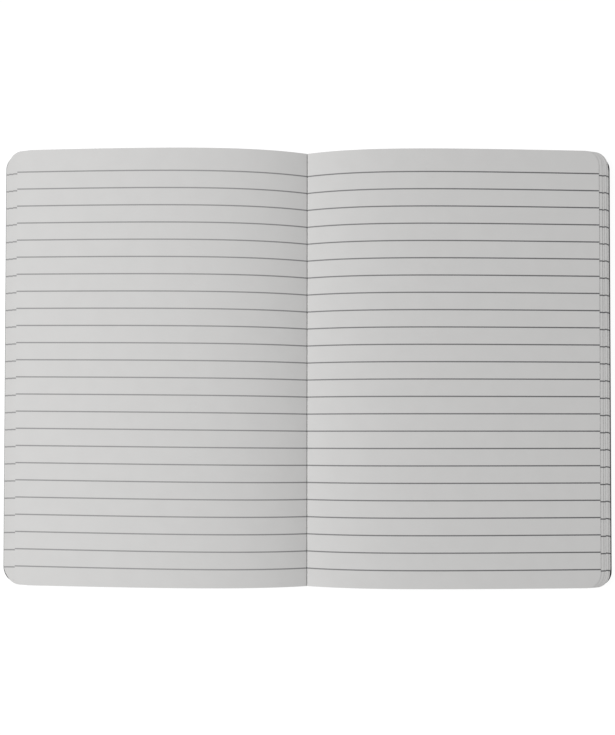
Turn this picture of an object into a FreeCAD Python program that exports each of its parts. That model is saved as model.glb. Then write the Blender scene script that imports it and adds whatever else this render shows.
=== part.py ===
import FreeCAD, Part
import math
import os
import Sketcher

# An open composition notebook lying flat: two cover boards joined by a cloth spine tape, and
# the sewn gatherings of ruled leaves, which open into a left and a right block of pages.
# X runs across the spread from the fold, Y up the page, Z up from the table. Millimetres.

DRIVING_SIZES = [
    ("page_height", 203.2, "trimmed height of the leaves"),
    ("top_leaf_reach", 135.9, "fold to fore-edge of the uppermost leaf"),
    ("fan_out", 6.8, "how much further the lowest leaf reaches, because it bends round the rest"),
    ("fan_steps", 5, "bundles of leaves that show as steps at the fore-edge"),
    ("fan_depth", 1.3, "leaves above the lowest bundle, pressed together"),
    ("corner_radius", 9.0, "rounded fore-edge corners of the lowest leaf"),
    ("top_corner_radius", 6.5, "rounded fore-edge corners of the uppermost leaf"),
    ("gutter_height", 2.05, "page surface in the gutter, above the boards"),
    ("left_stack", 4.1, "leaves under the left page, pressed together at the fore-edge"),
    ("right_stack", 5.9, "leaves under the right page, pressed together at the fore-edge"),
    ("board_thickness", 0.6, "cover board"),
    ("board_setback", 5.0, "fold to the inner edge of a board"),
    ("cover_overhang", 0.4, "board beyond the leaves"),
    ("tape_thickness", 0.25, "cloth spine tape"),
    ("tape_width", 44.0, "cloth spine tape, both sides together"),
    ("fold_slot", 0.8, "gap along the fold that holds the stitches"),
    ("thread_diameter", 0.6, "sewing thread"),
    ("thread_cover", 0.9, "leaf folds above the upper run of thread"),
    ("stitch_length", 15.0, "distance between needle holes"),
    ("stitch_margin", 12.0, "last needle hole to the end of the fold"),
    ("line_pitch", 8.0, "distance between ruled lines"),
    ("line_head", 10.8, "top edge of the page to the first ruled line"),
    ("line_foot", 6.0, "least distance of the last ruled line from the bottom edge"),
    ("line_width", 0.35, "printed line"),
    ("line_relief", 0.05, "ink film of a printed line"),
    ("line_inset", 0.2, "fore-edge of the leaf to the end of a line"),
    ("left_rise", 14.17, "left page: how high the roll out of the fold would climb"),
    ("left_roll", 33.0, "left page: distance over which it climbs"),
    ("right_rise", 11.46, "right page: how high the roll out of the fold would climb"),
    ("right_roll", 28.0, "right page: distance over which it climbs"),
]

# Arcs that make up the arch of a page, how they crowd towards the fold, and how far the
# cutting profile runs past the leaves
ARCH_ARCS = 4
ARC_CROWDING = 1.6
CUT_MARGIN = 2.0

doc = FreeCAD.newDocument("composition_notebook")
sheet = doc.addObject("Spreadsheet::Sheet", "sizes")
for row, (alias, value, meaning) in enumerate(DRIVING_SIZES, start=1):
    sheet.set("A%d" % row, alias)
    sheet.set("B%d" % row, str(value))
    sheet.setAlias("B%d" % row, alias)
    sheet.set("C%d" % row, meaning)
doc.recompute()

# Heights and reaches that the driving sizes give, as formulas on the sheet
COVER_TOP = "(sizes.tape_thickness + sizes.board_thickness)"
FOLD_TOP = "(sizes.tape_thickness + sizes.board_thickness + sizes.gutter_height)"
COVER_REACH = "(sizes.top_leaf_reach + sizes.fan_out + sizes.cover_overhang)"
COVER_HEIGHT = "(sizes.page_height + 2 * sizes.cover_overhang)"
RULED_HEIGHT = "(sizes.page_height - sizes.line_head - sizes.line_foot)"
LINE_GAPS = "floor(%s / sizes.line_pitch)" % RULED_HEIGHT


def size(formula):
    """Number that a formula on the sheet gives."""
    return float(sheet.evalExpression(formula))


def new_body(node):
    body = doc.addObject("PartDesign::Body", node)
    body.Label = node
    return body


def origin_feature(body, role):
    return next(item for item in body.Origin.OriginFeatures if item.Role == role)


def new_sketch(body, name, plane, offset):
    """Sketch on one of the body's own planes, moved along its normal by a formula."""
    sketch = body.newObject("Sketcher::SketchObject", name)
    sketch.AttachmentSupport = [(origin_feature(body, plane), "")]
    sketch.MapMode = "FlatFace"
    sketch.setExpression(".AttachmentOffset.Base.z", offset)
    return sketch


def bind(sketch, kind, references, formula):
    """Dimension of a sketch, tied to a formula on the sheet."""
    index = sketch.addConstraint(Sketcher.Constraint(kind, *references, size(formula)))
    sketch.setExpression("Constraints[%d]" % index, formula)


def bind_reach(sketch, side, line, formula):
    """Distance of an upright line from the fold, to the left or to the right of it."""
    origin = (-1, 1)
    point = (line, 1)
    references = origin + point if side > 0 else point + origin
    bind(sketch, "DistanceX", references, formula)


def add_pad(body, name, sketch, length):
    pad = body.newObject("PartDesign::Pad", name)
    pad.Profile = sketch
    pad.setExpression("Length", length)
    sketch.Visibility = False
    return pad


def leaf_outline(body, name, side, level, inner, reach, height, radius):
    """A leaf or board from above: square at the fold, rounded at its two outer corners."""
    sketch = new_sketch(body, name, "XY_Plane", level)
    near = side * size(inner)
    far = side * size(reach)
    top = size(height) / 2
    bend = size(radius)
    straight = far - side * bend
    corner = top - bend

    def point(across, along):
        return FreeCAD.Vector(across, along, 0)

    def line(start, end):
        return sketch.addGeometry(Part.LineSegment(start, end))

    def outer_corner(sign):
        centre = Part.Circle(point(straight, sign * corner), FreeCAD.Vector(0, 0, 1), bend)
        begin = math.atan2(sign, side) - math.pi / 4
        return sketch.addGeometry(Part.ArcOfCircle(centre, begin, begin + math.pi / 2))

    fold = line(point(near, -top), point(near, top))
    head = line(point(near, top), point(straight, top))
    head_corner = outer_corner(1)
    fore_edge = line(point(far, corner), point(far, -corner))
    tail_corner = outer_corner(-1)
    tail = line(point(straight, -top), point(near, -top))

    # An arc runs anticlockwise, so the end that this round trip meets first depends on the side
    first, last = (2, 1) if side > 0 else (1, 2)
    sketch.addConstraint(Sketcher.Constraint("Coincident", fold, 2, head, 1))
    sketch.addConstraint(Sketcher.Constraint("Tangent", head, 2, head_corner, first))
    sketch.addConstraint(Sketcher.Constraint("Tangent", head_corner, last, fore_edge, 1))
    sketch.addConstraint(Sketcher.Constraint("Tangent", fore_edge, 2, tail_corner, first))
    sketch.addConstraint(Sketcher.Constraint("Tangent", tail_corner, last, tail, 1))
    sketch.addConstraint(Sketcher.Constraint("Coincident", tail, 2, fold, 1))
    sketch.addConstraint(Sketcher.Constraint("Horizontal", head))
    sketch.addConstraint(Sketcher.Constraint("Symmetric", fold, 1, fold, 2, -1))
    sketch.addConstraint(Sketcher.Constraint("Equal", head_corner, tail_corner))
    sketch.addConstraint(Sketcher.Constraint("Horizontal", tail))
    bind(sketch, "Distance", (fold,), height)
    bind(sketch, "Radius", (head_corner,), radius)
    bind_reach(sketch, side, fold, inner)
    bind_reach(sketch, side, fore_edge, reach)
    return sketch


def arch_height(arch, distance):
    """Formula for the upper surface of a page at a distance from the fold.

    It rolls up out of the fold and then falls steadily to the stack at the fore-edge.
    """
    roll_up = "sizes.%s_rise * (1 - exp(-(%s) / sizes.%s_roll))"
    climb = roll_up % (arch, distance, arch)
    full_climb = roll_up % (arch, "sizes.top_leaf_reach", arch)
    fall = "(sizes.gutter_height + %s - sizes.%s_stack)" % (full_climb, arch)
    return "(%s + %s - %s * (%s) / sizes.top_leaf_reach)" % (FOLD_TOP, climb, fall, distance)


def arch_points(side, arch, lift, end_inset):
    """Ends and middles of the arcs that follow the upper surface, from the fold outwards."""
    near = size("sizes.fold_slot / 2")
    far = size("sizes.top_leaf_reach") - end_inset
    halves = 2 * ARCH_ARCS
    points = []
    for half in range(halves + 1):
        # Arcs are shorter near the fold, where the page bends most
        distance = near + (far - near) * (half / halves) ** ARC_CROWDING
        height = size(arch_height(arch, "%.6f" % distance)) + lift
        points.append(FreeCAD.Vector(side * distance, height, 0))
    return points


def add_arcs(sketch, points):
    """Arcs through three points each, where every second point joins two of them."""
    for first in range(0, len(points) - 2, 2):
        sketch.addGeometry(Part.Arc(*points[first:first + 3]))


def add_run(sketch, points):
    """Straight lines from point to point."""
    for begin, finish in zip(points, points[1:]):
        sketch.addGeometry(Part.LineSegment(begin, finish))


def make_cover(node, side):
    """Cover board, square at the spine and rounded at its outer corners."""
    body = new_body(node)
    outline = leaf_outline(
        body, node + "_outline", side, "sizes.tape_thickness", "sizes.board_setback",
        COVER_REACH, COVER_HEIGHT, "(sizes.corner_radius + sizes.cover_overhang)",
    )
    add_pad(body, node + "_board", outline, "sizes.board_thickness")


def make_pages(node, side, arch):
    """The leaves of one side: an arched block whose fore-edge fans out in steps."""
    body = new_body(node)
    fold = "sizes.fold_slot / 2"
    root = body.newObject("PartDesign::AdditiveBox", node + "_spine_strip")
    root.setExpression("Length", "sizes.board_setback - " + fold)
    root.setExpression("Width", "sizes.page_height")
    root.setExpression("Height", "sizes.board_thickness")
    left_face = fold if side > 0 else "-sizes.board_setback"
    root.setExpression(".Placement.Base.x", left_face)
    root.setExpression(".Placement.Base.y", "-sizes.page_height / 2")
    root.setExpression(".Placement.Base.z", "sizes.tape_thickness")

    steps = round(size("sizes.fan_steps"))
    step_height = "sizes.fan_depth / (sizes.fan_steps - 1)"
    extra_radius = "(sizes.corner_radius - sizes.top_corner_radius)"
    for step in range(steps):
        above = "(sizes.fan_steps - %d) / (sizes.fan_steps - 1)" % (step + 1)
        reach = "sizes.top_leaf_reach + sizes.fan_out * " + above
        outline = leaf_outline(
            body, "%s_bundle_%d_outline" % (node, step + 1), side, COVER_TOP, fold,
            reach, "sizes.page_height", "sizes.top_corner_radius + %s * %s" % (extra_radius, above),
        )
        height = "sizes.%s_stack - sizes.fan_depth + %d * %s" % (arch, step, step_height)
        if step == steps - 1:
            height = "sizes.gutter_height + sizes.%s_rise" % arch
        add_pad(body, "%s_bundle_%d" % (node, step + 1), outline, height)
    doc.recompute()
    uncut = body.Shape.Volume

    section = new_sketch(body, node + "_above_arch", "XZ_Plane", "0")
    surface = arch_points(side, arch, 0, 0)
    near = surface[0]
    far = surface[-1]
    ceiling = size(FOLD_TOP) + size("sizes.%s_rise" % arch) + CUT_MARGIN
    past_fold = near.x - side * CUT_MARGIN
    past_edge = far.x + side * CUT_MARGIN
    add_arcs(section, surface)
    add_run(section, [
        far,
        FreeCAD.Vector(past_edge, far.y, 0),
        FreeCAD.Vector(past_edge, ceiling, 0),
        FreeCAD.Vector(past_fold, ceiling, 0),
        FreeCAD.Vector(past_fold, near.y, 0),
        near,
    ])
    cut = body.newObject("PartDesign::Pocket", node + "_arch")
    cut.Profile = section
    cut.SideType = "Symmetric"
    cut.setExpression("Length", "2 * sizes.page_height")
    section.Visibility = False
    doc.recompute()
    if not body.Shape.Volume < uncut or len(body.Shape.Solids) != 1:
        raise RuntimeError(node + ": the arch was not cut cleanly")


def make_ruling(node, side, arch):
    """Printed lines of a page: one thin strip over the arch, repeated down the page."""
    body = new_body(node)
    first_line = "(sizes.page_height / 2 - sizes.line_head)"
    section = new_sketch(body, node + "_section", "XZ_Plane", "-" + first_line)
    inset = size("sizes.line_inset")
    under = arch_points(side, arch, 0, inset)
    over = arch_points(side, arch, size("sizes.line_relief"), inset)
    for points in (under, over):
        add_arcs(section, points)
    for end in (0, -1):
        add_run(section, [under[end], over[end]])
    strip = add_pad(body, node + "_line", section, "sizes.line_width")
    strip.SideType = "Symmetric"
    lines = body.newObject("PartDesign::LinearPattern", node + "_lines")
    lines.Originals = [strip]
    lines.Direction = (section, ["N_Axis"])
    lines.setExpression("Length", LINE_GAPS + " * sizes.line_pitch")
    lines.setExpression("Occurrences", LINE_GAPS + " + 1")
    body.Tip = lines


def make_tape(node):
    """Cloth tape glued over the spine and onto both boards."""
    tape = doc.addObject("Part::Box", node)
    tape.Label = node
    tape.setExpression("Length", "sizes.tape_width")
    tape.setExpression("Width", COVER_HEIGHT)
    tape.setExpression("Height", "sizes.tape_thickness")
    tape.setExpression(".Placement.Base.x", "-sizes.tape_width / 2")
    tape.setExpression(".Placement.Base.y", "-%s / 2" % COVER_HEIGHT)


def thread_piece(name, along, length, position):
    """Straight length of thread along the fold, or down through it."""
    piece = doc.addObject("Part::Cylinder", name)
    piece.setExpression("Radius", "sizes.thread_diameter / 2")
    piece.setExpression("Height", length)
    turned = FreeCAD.Rotation(FreeCAD.Vector(0, 0, 1), along)
    piece.Placement = FreeCAD.Placement(FreeCAD.Vector(0, 0, 0), turned)
    for axis, formula in position.items():
        piece.setExpression(".Placement.Base." + axis, formula)
    piece.Visibility = False
    return piece


def make_thread(node):
    """Machine sewing through the fold: a run inside, a run outside and a pass at each hole."""
    usable = size("sizes.page_height - 2 * sizes.stitch_margin")
    stitches = math.floor(usable / size("sizes.stitch_length"))
    seam = "(%d * sizes.stitch_length)" % stitches
    outside = "(sizes.tape_thickness + sizes.thread_diameter / 2)"
    inside = "(%s - sizes.thread_cover)" % FOLD_TOP
    run = FreeCAD.Vector(0, 1, 0)
    down = FreeCAD.Vector(0, 0, 1)
    pieces = []
    for name, level in (("inside_run", inside), ("outside_run", outside)):
        place = {"y": "-%s / 2" % seam, "z": level}
        pieces.append(thread_piece(name, run, seam, place))
    for hole in range(stitches + 1):
        place = {"y": "%d * sizes.stitch_length - %s / 2" % (hole, seam), "z": outside}
        name = "pass_%d" % (hole + 1)
        pieces.append(thread_piece(name, down, "%s - %s" % (inside, outside), place))
    thread = doc.addObject("Part::MultiFuse", node)
    thread.Label = node
    thread.Shapes = pieces


make_tape("spine_tape")
make_thread("sewing_thread")
for hand, side in (("left", -1), ("right", 1)):
    make_cover("front_cover" if side < 0 else "back_cover", side)
    make_pages(hand + "_pages", side, hand)
    make_ruling(hand + "_ruling", side, hand)
doc.recompute()

NODES = [
    "spine_tape", "sewing_thread", "front_cover", "back_cover",
    "left_pages", "right_pages", "left_ruling", "right_ruling",
]

for item in doc.Objects:
    if "Invalid" in item.State or "Error" in item.State:
        raise RuntimeError("%s did not build: %s" % (item.Name, item.State))
for item in doc.Objects:
    if item.isDerivedFrom("Sketcher::SketchObject") and item.solve() != 0:
        raise RuntimeError("%s has constraints that disagree" % item.Name)

os.makedirs("parts", exist_ok=True)
for node in NODES:
    shape = doc.getObject(node).Shape
    if shape.isNull() or not shape.isValid() or not shape.Solids:
        raise RuntimeError(node + " has no valid solid")
    shape.exportStep("parts/%s.step" % node)
    box = shape.BoundBox
    print("%-14s %2d solid(s) %10.1f mm3  x %.2f to %.2f  y %.2f to %.2f  z %.2f to %.2f" % (
        node, len(shape.Solids), shape.Volume,
        box.XMin, box.XMax, box.YMin, box.YMax, box.ZMin, box.ZMax,
    ))
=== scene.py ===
"""Open composition notebook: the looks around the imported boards, tape, thread and page blocks.

Metres, in the frame of the solids: X across the spread from the fold, Y up the page, Z up.
"""

import math
import random

import bpy
import numpy as np
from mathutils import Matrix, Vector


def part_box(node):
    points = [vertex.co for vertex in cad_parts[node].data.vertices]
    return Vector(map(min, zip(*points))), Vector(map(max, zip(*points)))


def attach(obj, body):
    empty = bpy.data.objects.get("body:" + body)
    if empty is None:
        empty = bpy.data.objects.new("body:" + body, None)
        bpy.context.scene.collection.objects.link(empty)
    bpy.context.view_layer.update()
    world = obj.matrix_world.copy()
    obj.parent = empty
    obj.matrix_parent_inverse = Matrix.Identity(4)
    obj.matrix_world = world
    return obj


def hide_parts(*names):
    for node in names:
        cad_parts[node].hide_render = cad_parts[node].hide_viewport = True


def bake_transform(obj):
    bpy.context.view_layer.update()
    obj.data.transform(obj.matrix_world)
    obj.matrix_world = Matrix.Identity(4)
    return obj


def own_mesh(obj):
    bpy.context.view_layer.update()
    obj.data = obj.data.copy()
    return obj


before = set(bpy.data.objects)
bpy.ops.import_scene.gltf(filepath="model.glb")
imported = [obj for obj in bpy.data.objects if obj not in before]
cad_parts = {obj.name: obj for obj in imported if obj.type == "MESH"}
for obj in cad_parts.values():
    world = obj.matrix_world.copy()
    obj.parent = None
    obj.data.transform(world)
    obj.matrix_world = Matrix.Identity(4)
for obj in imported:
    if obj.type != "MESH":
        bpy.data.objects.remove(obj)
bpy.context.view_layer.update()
MM = 0.001

# What the solids give
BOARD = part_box("back_cover")
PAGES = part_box("right_pages")
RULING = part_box("right_ruling")
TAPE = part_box("spine_tape")
COVER_TOP = BOARD[1].z
BOARD_INNER_EDGE = BOARD[0].x
PAGE_HEIGHT = PAGES[1].y - PAGES[0].y
GUTTER_HEIGHT = 2.05 * MM
GUTTER_TOP = COVER_TOP + GUTTER_HEIGHT
PRINTED_WIDTH = 0.35 * MM
FIRST_LINE = RULING[1].y - PRINTED_WIDTH / 2
LINE_PITCH = 8.0 * MM
LINE_COUNT = 24

# Leaves: how thick one is where they lie pressed together, and the paper in it. The cuts are the
# edge loops that let a leaf bend, and the higher the crowding, the nearer to the fold they lie
LEAF_PITCH = 0.1 * MM
LEAF_THICKNESS = 0.085 * MM
PRESSED_SHARE = 0.85
TOP_REACH = 135.9 * MM
TOP_CORNER = 6.5 * MM
LOW_CORNER = 9.0 * MM
LEAF_CORNER_STEPS = 8
BEND_CUTS = 24
BEND_CROWDING = 1.7
UPRIGHT_CUTS = 8
FOLD_HALF_WIDTH = 0.5 * MM
FOLD_CUTS = 20
TRIM_SCATTER = 0.07 * MM
RULING_SCATTER = 0.06 * MM
LIFT_SCATTER = (0.4, 1.6)
RIPPLE = 0.12 * MM
RIPPLE_LENGTH = 31 * MM
CREASE_HALF_WIDTH = 0.24 * MM
CREASE_DEPTH = 0.6 * MM
LIP_DEPTH = 0.14 * MM
LINING_GAP = 0.1 * MM

# Boards and spine tape
BOARD_CORNER_STEPS = 12
BOARD_SOFTNESS = 0.14 * MM
BOARD_EDGE_WEAR = 1.2 * MM
TAPE_SOFTNESS = 0.06 * MM
SPINE_BEND = 2.5 * MM
SPINE_CUTS = 24
CLOTH_THREAD = 0.4 * MM

# One side each: how its page rolls out of the fold, how far its leaves and its ruling lean out
# of square, where its board ends and how round its corners are. Last come its bundles of leaves
# from the top down: their number, their reach, the further reach of their lowest leaf and how
# low their ruling sits, all three in mm
SIDES = {
    "left": {
        "sign": -1,
        "seed": 11,
        "body": "front_half",
        "board": "front_cover",
        "rise": 14.17 * MM,
        "roll": 33.0 * MM,
        "lean": math.radians(0.32),
        "skew": math.radians(0.2),
        "board_reach": 142.85 * MM,
        "board_corner": 8.4 * MM,
        "bundles": [
            (5, 135.9, 0.0, 0.0), (4, 138.0, 0.1, 0.6), (4, 140.1, 0.1, 0.65), (28, 141.5, 0.7, 0.8),
        ],
    },
    "right": {
        "sign": 1,
        "seed": 23,
        "body": "back_half",
        "board": "back_cover",
        "rise": 11.46 * MM,
        "roll": 28.0 * MM,
        "lean": 0.0,
        "skew": math.radians(0.06),
        "board_reach": 143.45 * MM,
        "board_corner": 7.0 * MM,
        "bundles": [
            (3, 135.9, 0.0, 0.0), (3, 137.4, 0.1, 0.7), (2, 138.5, 0.1, 0.8), (3, 139.7, 0.1, 0.6),
            (2, 140.5, 0.1, 0.75), (46, 141.0, 1.4, 0.9),
        ],
    },
}

# Thin printed line: its width and how soft its sides are, then its strength on the right page
# at the fold and at the fore-edge, the share of it that the paler left page shows, and how near
# the fold that page starts to gain on the other
INK_WIDTH = 0.56 * MM
INK_SOFTNESS = 0.2 * MM
INK_STRENGTH = (0.79, 1.0)
LEFT_INK_SHARE = 0.8
LEFT_INK_GAIN = 48 * MM

# Colours as they look in plain light, where there are two from the darker to the paler
PAPER_COLOUR = (0.632, 0.628, 0.622)
INK_COLOUR = (0.055, 0.055, 0.062)
BOARD_COLOURS = ((0.018, 0.018, 0.02), (0.042, 0.042, 0.046))
WORN_BOARD_COLOUR = (0.1, 0.098, 0.095)
CLOTH_COLOURS = ((0.01, 0.01, 0.011), (0.04, 0.04, 0.043))
COTTON_COLOURS = ((0.5, 0.49, 0.46), (0.68, 0.67, 0.64))

# Floor, light and camera
FLOOR_SIZE = 6
FLOOR_DROP = 0.05 * MM
FLOOR_COLOUR = (0.85, 0.85, 0.85, 1)
FLOOR_GLOW = 1.12
FLOOR_GLOW_SHARE = 0.8
SKY_LEVEL = 0.535
LAMP_PLACE = (-0.9, 0.05, 0.82)
LAMP_POWER = 8.9
LAMP_SIZE = 0.6
CAMERA_DISTANCE = 340 * MM
CAMERA_OFFSET = (0.2 * MM, -30.5 * MM)
CAMERA_TILT = math.radians(0.85)
CAMERA_ROLL = math.radians(0.06)
CAMERA_LENS = 35.5
CAMERA_SENSOR = 36.0
CAMERA_SHIFT = 0.0758
CAMERA_NEAR = 0.01


def deselect():
    if bpy.context.object and bpy.context.object.mode != "OBJECT":
        bpy.ops.object.mode_set(mode="OBJECT")
    bpy.ops.object.select_all(action="DESELECT")


def pick(piece):
    deselect()
    piece.select_set(True)
    bpy.context.view_layer.objects.active = piece


def block(name, low, high):
    """A box between two corners, as the start of a piece."""
    deselect()
    bpy.ops.mesh.primitive_cube_add(size=1)
    piece = bpy.context.object
    piece.name = name
    piece.location = [(a + b) / 2 for a, b in zip(low, high)]
    piece.scale = [b - a for a, b in zip(low, high)]
    bpy.ops.object.transform_apply(location=True, rotation=True, scale=True)
    return piece


def slice_across(piece, axis, places):
    """Cut edge loops into a piece, square to an axis."""
    pick(piece)
    bpy.ops.object.mode_set(mode="EDIT")
    normal = tuple(1.0 if n == axis else 0.0 for n in range(3))
    for place in places:
        spot = tuple(place if n == axis else 0.0 for n in range(3))
        bpy.ops.mesh.select_all(action="SELECT")
        bpy.ops.mesh.bisect(plane_co=spot, plane_no=normal)
    bpy.ops.object.mode_set(mode="OBJECT")


def vertices(piece):
    spots = np.zeros(len(piece.data.vertices) * 3)
    piece.data.vertices.foreach_get("co", spots)
    return spots.reshape(-1, 3)


def move_vertices(piece, spots):
    piece.data.vertices.foreach_set("co", spots.reshape(-1))
    piece.data.update()


def write_uv(piece, across, down):
    """UV map from two numbers for each vertex."""
    mesh = piece.data
    layer = mesh.uv_layers.get("UVMap") or mesh.uv_layers.new(name="UVMap")
    corner = np.zeros(len(mesh.loops), dtype=int)
    mesh.loops.foreach_get("vertex_index", corner)
    pairs = np.stack([across[corner], down[corner]], axis=1)
    layer.data.foreach_set("uv", pairs.reshape(-1))


def smooth(piece, degrees):
    pick(piece)
    bpy.ops.object.shade_smooth_by_angle(angle=math.radians(degrees))


def soften_edges(piece, width, segments):
    """Narrow rounded bevel along the sharp edges."""
    pick(piece)
    soften = piece.modifiers.new("soft_edge", "BEVEL")
    soften.width = width
    soften.segments = segments
    soften.limit_method = "ANGLE"
    bpy.ops.object.modifier_apply(modifier=soften.name)


def paint(piece, material):
    piece.data.materials.clear()
    piece.data.materials.append(material)


# Node helpers


def new_material(name):
    material = bpy.data.materials.new(name)
    material.use_nodes = True
    nodes = material.node_tree.nodes
    return material, nodes, material.node_tree.links, nodes["Principled BSDF"]


def own_map(nodes, links):
    """The piece's own UV map, whole and as its two numbers."""
    uv = nodes.new("ShaderNodeUVMap")
    uv.uv_map = "UVMap"
    place = nodes.new("ShaderNodeSeparateXYZ")
    links.new(uv.outputs["UV"], place.inputs["Vector"])
    return uv.outputs["UV"], place.outputs["X"], place.outputs["Y"]


def math_node(nodes, links, operation, first, second=None):
    node = nodes.new("ShaderNodeMath")
    node.operation = operation
    for socket, value in zip(node.inputs, (first, second)):
        if value is None:
            continue
        if isinstance(value, (int, float)):
            socket.default_value = value
        else:
            links.new(value, socket)
    return node.outputs[0]


def ramp_between(nodes, links, value, low, high, start, end, smooth_step=True):
    node = nodes.new("ShaderNodeMapRange")
    node.interpolation_type = "SMOOTHSTEP" if smooth_step else "LINEAR"
    links.new(value, node.inputs["Value"])
    node.inputs["From Min"].default_value = low
    node.inputs["From Max"].default_value = high
    node.inputs["To Min"].default_value = start
    node.inputs["To Max"].default_value = end
    return node.outputs["Result"]


def noise(nodes, links, coordinates, scale, detail=3.0, roughness=0.5):
    node = nodes.new("ShaderNodeTexNoise")
    links.new(coordinates, node.inputs["Vector"])
    node.inputs["Scale"].default_value = scale
    node.inputs["Detail"].default_value = detail
    node.inputs["Roughness"].default_value = roughness
    return node.outputs["Fac"]


def mix_colours(nodes, links, share, first, second):
    node = nodes.new("ShaderNodeMix")
    node.data_type = "RGBA"
    links.new(share, node.inputs["Factor"])
    for socket, value in ((node.inputs["A"], first), (node.inputs["B"], second)):
        if isinstance(value, tuple):
            socket.default_value = (*value, 1.0)
        else:
            links.new(value, socket)
    return node.outputs["Result"]


def bump(nodes, links, height, strength, distance):
    node = nodes.new("ShaderNodeBump")
    links.new(height, node.inputs["Height"])
    node.inputs["Strength"].default_value = strength
    node.inputs["Distance"].default_value = distance
    return node.outputs["Normal"]


# Materials


def page_paper():
    """White writing paper with grey ruled lines that follow the leaf's own UV map.

    U is the distance from the fold and V the distance under the first line, both in lines.
    """
    material, nodes, links, shader = new_material("page_paper")
    spot, across, down = own_map(nodes, links)

    nearest = math_node(nodes, links, "ROUND", down)
    offset = math_node(nodes, links, "ABSOLUTE", math_node(nodes, links, "SUBTRACT", down, nearest))
    half_width = 0.5 * INK_WIDTH / LINE_PITCH
    soft = INK_SOFTNESS / LINE_PITCH
    line = ramp_between(nodes, links, offset, half_width - soft, half_width + soft, 1.0, 0.0)
    below_first = math_node(nodes, links, "GREATER_THAN", nearest, -0.5)
    above_last = math_node(nodes, links, "LESS_THAN", nearest, LINE_COUNT - 0.5)
    on_page = math_node(nodes, links, "MULTIPLY", below_first, above_last)
    printed = math_node(nodes, links, "MULTIPLY", line, on_page)
    page_edge = TOP_REACH / LINE_PITCH
    right_inking = ramp_between(nodes, links, across, 0.0, page_edge, *INK_STRENGTH, False)
    gain = LEFT_INK_GAIN / LINE_PITCH
    page_share = ramp_between(nodes, links, across, -gain, 0.0, LEFT_INK_SHARE, 1.0, False)
    inking = math_node(nodes, links, "MULTIPLY", right_inking, page_share)
    speckle = noise(nodes, links, spot, 24.0, 2.0)
    patchy = ramp_between(nodes, links, speckle, 0.3, 0.7, 0.86, 1.0)
    strength = math_node(nodes, links, "MULTIPLY", inking, patchy)
    ink = math_node(nodes, links, "MULTIPLY", printed, strength)

    cloud = noise(nodes, links, spot, 0.9, 4.0)
    formation = ramp_between(nodes, links, cloud, 0.3, 0.7, 0.0, 1.0)
    darker = tuple(channel * 0.982 for channel in PAPER_COLOUR)
    sheet = mix_colours(nodes, links, formation, darker, PAPER_COLOUR)
    links.new(mix_colours(nodes, links, ink, sheet, INK_COLOUR), shader.inputs["Base Color"])
    tooth = noise(nodes, links, spot, 60.0, 4.0, 0.6)
    links.new(bump(nodes, links, tooth, 0.12, 0.04 * MM), shader.inputs["Normal"])
    shader.inputs["Roughness"].default_value = 0.92
    shader.inputs["Specular IOR Level"].default_value = 0.25
    return material


def fold_paper():
    """Leaf folds seen end on: pale layers along V, one to a leaf, with painted shade in the gaps
    between them.
    """
    material, nodes, links, shader = new_material("fold_paper")
    spot, _, height = own_map(nodes, links)
    layer = math_node(nodes, links, "FRACT", height)
    centred = math_node(nodes, links, "ABSOLUTE", math_node(nodes, links, "SUBTRACT", layer, 0.5))
    # The dark bands between the layers are painted shade, where the gaps between leaves lie in
    # shadow.
    painted_gap_shade = ramp_between(nodes, links, centred, 0.3, 0.5, 0.0, 0.45)
    shade = tuple(channel * 0.45 for channel in PAPER_COLOUR)
    links.new(mix_colours(nodes, links, painted_gap_shade, PAPER_COLOUR, shade), shader.inputs["Base Color"])
    fibre = noise(nodes, links, spot, 6.0)
    links.new(bump(nodes, links, fibre, 0.2, 0.05 * MM), shader.inputs["Normal"])
    shader.inputs["Roughness"].default_value = 0.95
    shader.inputs["Specular IOR Level"].default_value = 0.2
    return material


def pressed_board():
    """Black pressed board: mottled fibres under a satin coat, rubbed paler along its edges.

    In mm, the board's UV map holds the distance from its fore-edge and the height up its side.
    """
    material, nodes, links, shader = new_material("pressed_board")
    spot = nodes.new("ShaderNodeTexCoord").outputs["Object"]
    cloud = noise(nodes, links, spot, 90.0, 5.0, 0.6)
    fibre = noise(nodes, links, spot, 900.0, 3.0, 0.7)
    blend = math_node(nodes, links, "MULTIPLY", cloud, fibre)
    share = ramp_between(nodes, links, blend, 0.12, 0.42, 0.0, 1.0)
    colour = mix_colours(nodes, links, share, *BOARD_COLOURS)
    _, from_fore_edge, height = own_map(nodes, links)
    half_height = (BOARD[1].y - BOARD[0].y) / 2 / MM
    from_middle = math_node(nodes, links, "ABSOLUTE", height)
    from_end = math_node(nodes, links, "SUBTRACT", half_height, from_middle)
    edge = math_node(nodes, links, "MINIMUM", from_fore_edge, from_end)
    near_edge = ramp_between(nodes, links, edge, 0.0, BOARD_EDGE_WEAR / MM, 1.0, 0.0)
    patchy = math_node(nodes, links, "MULTIPLY", cloud, 0.7)
    rubbed = math_node(nodes, links, "MULTIPLY", near_edge, patchy)
    worn = mix_colours(nodes, links, rubbed, colour, WORN_BOARD_COLOUR)
    links.new(worn, shader.inputs["Base Color"])
    links.new(ramp_between(nodes, links, cloud, 0.3, 0.7, 0.42, 0.56), shader.inputs["Roughness"])
    links.new(bump(nodes, links, fibre, 0.25, 0.05 * MM), shader.inputs["Normal"])
    return material


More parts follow.
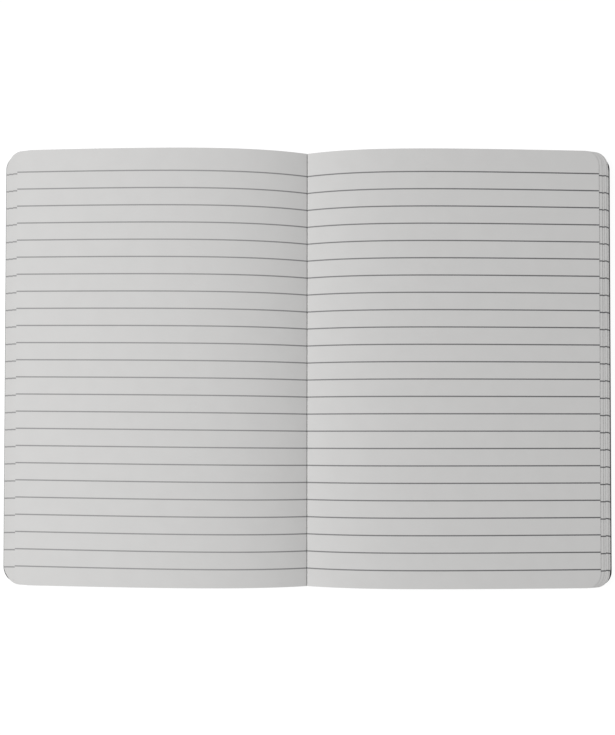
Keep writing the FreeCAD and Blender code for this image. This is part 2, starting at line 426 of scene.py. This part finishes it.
def book_cloth():
    """Black book cloth: a plain weave that follows the tape's own UV map, in threads."""
    material, nodes, links, shader = new_material("book_cloth")
    spot, across, along = own_map(nodes, links)
    warp = math_node(nodes, links, "SINE", math_node(nodes, links, "MULTIPLY", across, math.pi))
    weft = math_node(nodes, links, "SINE", math_node(nodes, links, "MULTIPLY", along, math.pi))
    cross = math_node(nodes, links, "MULTIPLY", warp, weft)
    slub = noise(nodes, links, spot, 0.35, 4.0, 0.6)
    height = math_node(nodes, links, "ADD", math_node(nodes, links, "MULTIPLY", cross, 0.5), slub)
    share = ramp_between(nodes, links, height, 0.0, 1.1, 0.0, 1.0)
    colour = mix_colours(nodes, links, share, *CLOTH_COLOURS)
    links.new(colour, shader.inputs["Base Color"])
    links.new(bump(nodes, links, height, 0.5, 0.08 * MM), shader.inputs["Normal"])
    shader.inputs["Roughness"].default_value = 0.85
    shader.inputs["Sheen Weight"].default_value = 0.25
    return material


def sewing_cotton():
    """White cotton thread with a fine twist."""
    material, nodes, links, shader = new_material("sewing_cotton")
    spot = nodes.new("ShaderNodeTexCoord").outputs["Object"]
    twist = nodes.new("ShaderNodeTexWave")
    twist.bands_direction = "DIAGONAL"
    links.new(spot, twist.inputs["Vector"])
    twist.inputs["Scale"].default_value = 900.0
    colour = mix_colours(nodes, links, twist.outputs["Fac"], *COTTON_COLOURS)
    links.new(colour, shader.inputs["Base Color"])
    links.new(bump(nodes, links, twist.outputs["Fac"], 0.5, 0.05 * MM), shader.inputs["Normal"])
    shader.inputs["Roughness"].default_value = 0.8
    return material


# Leaves, boards and tape


def bend_stations():
    """Places where a leaf is cut so that it can bend: close together near the fold."""
    straight = TOP_REACH - LOW_CORNER - FOLD_HALF_WIDTH
    shares = [(n / BEND_CUTS) ** BEND_CROWDING for n in range(1, BEND_CUTS + 1)]
    return [FOLD_HALF_WIDTH + straight * share for share in shares]


def rounded_sheet(name, near, far, height, radius, segments):
    """Flat sheet from near to far along +X, with its two far corners rounded."""
    deselect()
    bpy.ops.mesh.primitive_plane_add(size=1)
    sheet = bpy.context.object
    sheet.name = name
    sheet.location = ((near + far) / 2, 0, 0)
    sheet.scale = (far - near, height, 1)
    bpy.ops.object.transform_apply(location=True, rotation=True, scale=True)
    bpy.ops.object.mode_set(mode="EDIT")
    bpy.ops.mesh.select_mode(type="VERT")
    bpy.ops.mesh.select_all(action="DESELECT")
    bpy.ops.object.mode_set(mode="OBJECT")
    for corner in sheet.data.vertices:
        corner.select = corner.co.x > (near + far) / 2
    bpy.ops.object.mode_set(mode="EDIT")
    bpy.ops.mesh.bevel(offset=radius, segments=segments, affect="VERTICES")
    bpy.ops.object.mode_set(mode="OBJECT")
    return sheet


def give_thickness(sheet, thickness):
    """Turn a flat sheet into a closed slab that reaches down from it."""
    pick(sheet)
    bpy.ops.object.mode_set(mode="EDIT")
    bpy.ops.mesh.select_all(action="SELECT")
    bpy.ops.mesh.extrude_region_move(TRANSFORM_OT_translate={"value": (0, 0, -thickness)})
    bpy.ops.mesh.select_all(action="SELECT")
    bpy.ops.mesh.normals_make_consistent(inside=False)
    bpy.ops.object.mode_set(mode="OBJECT")


def leaf_blank(name, radius):
    """One flat leaf out from the fold, cut across so that it can bend."""
    leaf = rounded_sheet(name, FOLD_HALF_WIDTH, TOP_REACH, PAGE_HEIGHT, radius, LEAF_CORNER_STEPS)
    slice_across(leaf, 0, bend_stations())
    slice_across(leaf, 1, [PAGE_HEIGHT * (n / UPRIGHT_CUTS - 0.5) for n in range(1, UPRIGHT_CUTS)])
    give_thickness(leaf, LEAF_THICKNESS)
    return leaf


def leaf_count(side):
    return sum(bundle[0] for bundle in side["bundles"])


def page_height(side, distance):
    """Height of the page's upper surface over the board, at a distance from the fold."""
    def climb(there):
        return side["rise"] * (1 - np.exp(-there / side["roll"]))

    stack = leaf_count(side) * LEAF_PITCH
    fall = GUTTER_HEIGHT + climb(TOP_REACH) - stack
    return GUTTER_HEIGHT + climb(distance) - fall * distance / TOP_REACH


def leaf_facts(side, scatter):
    """Reach and ruling drift of each leaf, from the lowest to the uppermost."""
    facts = []
    for count, reach, creep, drift in reversed(side["bundles"]):
        for place in range(count):
            further = creep * (1 - place / count)
            trim = scatter.uniform(-TRIM_SCATTER, TRIM_SCATTER)
            print_shift = scatter.uniform(-RULING_SCATTER, RULING_SCATTER)
            facts.append(((reach + further) * MM + trim, drift * MM + print_shift))
    facts[-1] = (TOP_REACH, 0.0)
    return facts


def flat_leaves(side):
    """The lowest bundle lies flat, and the leaves over it arch."""
    return side["bundles"][-1][0]


def leaf_lifts(side, scatter):
    """Share of the arch that each leaf takes: none in the flat ones, then more and more."""
    steps = [scatter.uniform(*LIFT_SCATTER) for _ in range(leaf_count(side) - flat_leaves(side))]
    return [0.0] * flat_leaves(side) + list(np.cumsum(steps) / sum(steps))


def leaf_level(side, share, lift, distance, along):
    """Upper surface of one leaf: its share of the pressed stack and its lift with the arch."""
    height = page_height(side, distance)
    stack = leaf_count(side) * LEAF_PITCH
    pressed = np.minimum(height, stack)
    ripple = RIPPLE * np.sin(along / RIPPLE_LENGTH) * (distance / TOP_REACH) ** 2
    return COVER_TOP + share * pressed + lift * (height - pressed + ripple)


def bend_leaf(blanks, side, number, facts, lifts):
    """Copy of a blank, bent over the arch to its own level in the stack."""
    reach, drift = facts
    blank = blanks["low" if number < flat_leaves(side) else "top"]
    leaf = blank.copy()
    leaf.data = blank.data.copy()
    bpy.context.scene.collection.objects.link(leaf)
    spots = vertices(blank)
    stretch = (reach - FOLD_HALF_WIDTH) / (TOP_REACH - FOLD_HALF_WIDTH)
    distance = FOLD_HALF_WIDTH + (spots[:, 0] - FOLD_HALF_WIDTH) * stretch
    along = spots[:, 1]
    count = leaf_count(side)
    level = leaf_level(side, (number + 1) / count, lifts[number], distance, along)
    lift_below = lifts[number - 1] if number else 0.0
    below = leaf_level(side, number / count, lift_below, distance, along)
    paper = np.minimum(LEAF_THICKNESS, PRESSED_SHARE * (level - below))
    bent = spots.copy()
    bent[:, 0] = side["sign"] * distance
    bent[:, 1] += distance * math.tan(side["lean"])
    bent[:, 2] = np.where(spots[:, 2] < -LEAF_THICKNESS / 2, level - paper, level)
    move_vertices(leaf, bent)
    line_rise = distance * math.tan(side["skew"])
    down = (FIRST_LINE - along - drift + line_rise) / LINE_PITCH
    write_uv(leaf, side["sign"] * distance / LINE_PITCH, down)
    return leaf


def join(pieces, name):
    deselect()
    for piece in pieces:
        piece.select_set(True)
    bpy.context.view_layer.objects.active = pieces[0]
    bpy.ops.object.join()
    joined = bpy.context.object
    joined.name = name
    joined.data.name = name
    return joined


def outward(piece):
    """Mirroring to the left turns the leaves inside out, so their faces are turned back."""
    pick(piece)
    bpy.ops.object.mode_set(mode="EDIT")
    bpy.ops.mesh.select_all(action="SELECT")
    bpy.ops.mesh.normals_make_consistent(inside=False)
    bpy.ops.object.mode_set(mode="OBJECT")


def make_leaves(blanks, hand, material):
    """The flat lower leaves and the arched upper leaves of one side."""
    side = SIDES[hand]
    scatter = random.Random(side["seed"])
    facts = leaf_facts(side, scatter)
    lifts = leaf_lifts(side, scatter)
    leaves = [bend_leaf(blanks, side, number, fact, lifts) for number, fact in enumerate(facts)]
    flat = flat_leaves(side)
    lower = join(leaves[:flat] + [lining_strip(hand, side)], hand + "_leaves_flat")
    upper = join(leaves[flat:], hand + "_leaves_arched")
    for piece in (lower, upper):
        outward(piece)
        smooth(piece, 35)
        paint(piece, material)
        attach(piece, side["body"])
        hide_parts(hand + "_pages", hand + "_ruling")
    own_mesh(upper)


def lining_strip(hand, side):
    """Pasted end leaf that steps down between the board's inner edge and the fold."""
    near = FOLD_HALF_WIDTH
    far = BOARD_INNER_EDGE - LINING_GAP
    ends = sorted((side["sign"] * near, side["sign"] * far))
    half = PAGE_HEIGHT / 2
    strip = block(hand + "_lining", (ends[0], -half, TAPE[1].z), (ends[1], half, COVER_TOP))
    spots = vertices(strip)
    write_uv(strip, spots[:, 0] / LINE_PITCH, np.full(len(spots), -1.0))
    return strip


def make_board(hand, material):
    """Cover board with softened edges, leaning with the leaves it carries."""
    side = SIDES[hand]
    thickness = COVER_TOP - BOARD[0].z
    height = BOARD[1].y - BOARD[0].y
    reach = side["board_reach"]
    corner = side["board_corner"]
    board = rounded_sheet(
        hand + "_board", BOARD_INNER_EDGE, reach, height, corner, BOARD_CORNER_STEPS
    )
    give_thickness(board, thickness)
    soften_edges(board, BOARD_SOFTNESS, 3)
    spots = vertices(board)
    write_uv(board, (reach - spots[:, 0]) / MM, spots[:, 1] / MM)
    spots[:, 1] += spots[:, 0] * math.tan(side["lean"])
    spots[:, 0] *= side["sign"]
    spots[:, 2] += COVER_TOP
    move_vertices(board, spots)
    outward(board)
    smooth(board, 40)
    paint(board, material)
    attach(board, side["body"])
    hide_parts(side["board"])


def make_folds(paper, fold_ends):
    """The leaf folds: a narrow upright stack along the spine, cut into strips along it."""
    half = PAGE_HEIGHT / 2
    low = (-FOLD_HALF_WIDTH, -half, TAPE[1].z)
    folds = block("leaf_folds", low, (FOLD_HALF_WIDTH, half, GUTTER_TOP))
    shares = [2 * n / FOLD_CUTS - 1 for n in range(1, FOLD_CUTS)]
    slice_across(folds, 0, [FOLD_HALF_WIDTH * share for share in shares])
    spots = vertices(folds)
    write_uv(folds, spots[:, 0] / MM, (spots[:, 2] - COVER_TOP) / LEAF_PITCH)
    paint(folds, fold_ends)
    folds.data.materials.append(paper)
    layer = folds.data.uv_layers["UVMap"].data
    for face in folds.data.polygons:
        if face.normal.z < 0.5:
            continue
        face.material_index = 1
        for corner in face.loop_indices:
            spot = folds.data.vertices[folds.data.loops[corner].vertex_index].co
            layer[corner].uv = (spot.x / LINE_PITCH, (FIRST_LINE - spot.y) / LINE_PITCH)
    top = spots[:, 2] > GUTTER_TOP - 0.1 * MM
    for side in SIDES.values():
        mine = top & (spots[:, 0] * side["sign"] >= 0)
        distance = np.abs(spots[mine, 0])
        lip = LIP_DEPTH * np.maximum(1 - distance / FOLD_HALF_WIDTH, 0)
        crease = lip + CREASE_DEPTH * np.maximum(1 - distance / CREASE_HALF_WIDTH, 0)
        spots[mine, 2] = COVER_TOP + page_height(side, distance) - crease
    move_vertices(folds, spots)
    smooth(folds, 30)
    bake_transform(folds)


def make_tape(material):
    """Cloth tape under the spine: flat on both boards, with edge loops cut across it between them.
    """
    tape = block("cloth_tape", TAPE[0], TAPE[1])
    bend = SPINE_BEND
    slice_across(tape, 0, [bend * (2 * n / SPINE_CUTS - 1) for n in range(SPINE_CUTS + 1)])
    spots = vertices(tape)
    write_uv(tape, spots[:, 0] / CLOTH_THREAD, spots[:, 1] / CLOTH_THREAD)
    soften_edges(tape, TAPE_SOFTNESS, 2)
    smooth(tape, 40)
    paint(tape, material)
    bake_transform(tape)
    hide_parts("spine_tape")


# Stage


def white_floor():
    """Pale floor that keeps a faint shadow and reads as the photo's white ground."""
    deselect()
    bpy.ops.mesh.primitive_plane_add(size=FLOOR_SIZE, location=(0, 0, -FLOOR_DROP))
    floor = bpy.context.object
    floor.name = "floor"
    material = bpy.data.materials.new("white_ground")
    material.use_nodes = True
    nodes = material.node_tree.nodes
    links = material.node_tree.links
    nodes.clear()
    surface = nodes.new("ShaderNodeBsdfDiffuse")
    surface.inputs["Color"].default_value = FLOOR_COLOUR
    glow = nodes.new("ShaderNodeEmission")
    glow.inputs["Strength"].default_value = FLOOR_GLOW
    path = nodes.new("ShaderNodeLightPath")
    camera_ray, glossy_ray = path.outputs["Is Camera Ray"], path.outputs["Is Glossy Ray"]
    seen = math_node(nodes, links, "MAXIMUM", camera_ray, glossy_ray)
    seen = math_node(nodes, links, "MAXIMUM", seen, path.outputs["Is Transmission Ray"])
    mixed = nodes.new("ShaderNodeMixShader")
    links.new(math_node(nodes, links, "MULTIPLY", seen, FLOOR_GLOW_SHARE), mixed.inputs["Fac"])
    links.new(surface.outputs["BSDF"], mixed.inputs[1])
    links.new(glow.outputs["Emission"], mixed.inputs[2])
    output = nodes.new("ShaderNodeOutputMaterial")
    links.new(mixed.outputs["Shader"], output.inputs["Surface"])
    paint(floor, material)


def studio_light():
    """Even white surroundings and one soft lamp from the left."""
    world = bpy.data.worlds.new("studio")
    bpy.context.scene.world = world
    world.use_nodes = True
    background = world.node_tree.nodes["Background"]
    background.inputs["Color"].default_value = (1, 1, 1, 1)
    background.inputs["Strength"].default_value = SKY_LEVEL
    deselect()
    bpy.ops.object.light_add(type="AREA", location=LAMP_PLACE)
    lamp = bpy.context.object
    lamp.name = "left_lamp"
    lamp.data.shape = "DISK"
    lamp.data.size = LAMP_SIZE
    lamp.data.energy = LAMP_POWER
    aim = -lamp.location
    lamp.rotation_euler = aim.to_track_quat("-Z", "Y").to_euler()


def photo_camera():
    """Camera a forearm above the fold, looking almost straight down."""
    deselect()
    place = (*CAMERA_OFFSET, GUTTER_TOP + CAMERA_DISTANCE)
    bpy.ops.object.camera_add(location=place)
    camera = bpy.context.object
    camera.name = "photo_camera"
    camera.rotation_euler = (CAMERA_TILT, 0, CAMERA_ROLL)
    camera.data.lens = CAMERA_LENS
    camera.data.sensor_width = CAMERA_SENSOR
    camera.data.shift_y = CAMERA_SHIFT
    camera.data.clip_start = CAMERA_NEAR
    bpy.context.scene.camera = camera


bpy.context.scene.view_settings.view_transform = "Standard"
photo_camera()
studio_light()
white_floor()

paper = page_paper()
board_finish = pressed_board()
blanks = {"low": leaf_blank("low_blank", LOW_CORNER), "top": leaf_blank("top_blank", TOP_CORNER)}
for hand in SIDES:
    make_leaves(blanks, hand, paper)
    make_board(hand, board_finish)
for blank in blanks.values():
    bpy.data.objects.remove(blank)
make_folds(paper, fold_paper())
make_tape(book_cloth())
paint(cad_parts["sewing_thread"], sewing_cotton())
